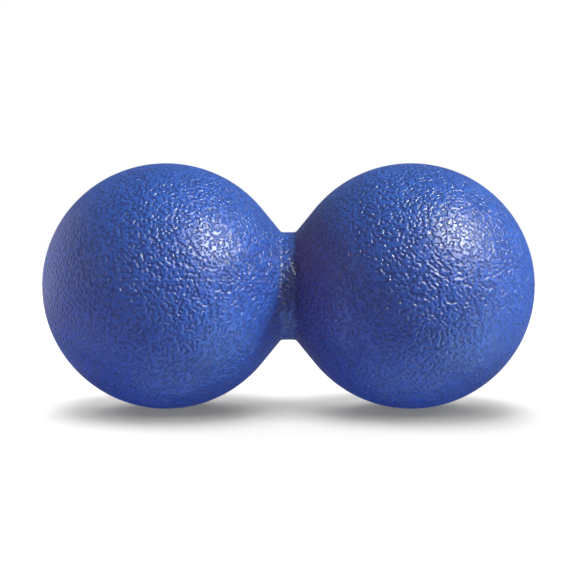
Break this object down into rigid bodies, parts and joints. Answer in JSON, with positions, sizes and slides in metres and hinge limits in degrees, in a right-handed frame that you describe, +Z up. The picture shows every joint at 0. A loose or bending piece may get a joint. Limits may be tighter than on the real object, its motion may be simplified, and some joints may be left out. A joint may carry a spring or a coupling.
{
  "type": "peanut massage ball",
  "caption": "Grained rubber massage ball in a peanut shape: spheres joined by a narrow waist, rolled under the back or neck to press the muscles beside the spine.",
  "frame": {"origin": "middle of the waist, on the long axis, which is also the centre of the whole ball", "axes": "+X along the long axis from the left ball to the right ball as seen from the front, -Y towards the viewer, +Z up; the moulding's parting plane holds the X axis and is turned 3.3 degrees about it, up at the front"},
  "size_m": [0.1256, 0.063, 0.063],
  "materials": {
    "blue_rubber": "satin"
  },
  "bodies": {
    "root": {"peanut_ball": "blue_rubber"}
  },
  "joints": []
}
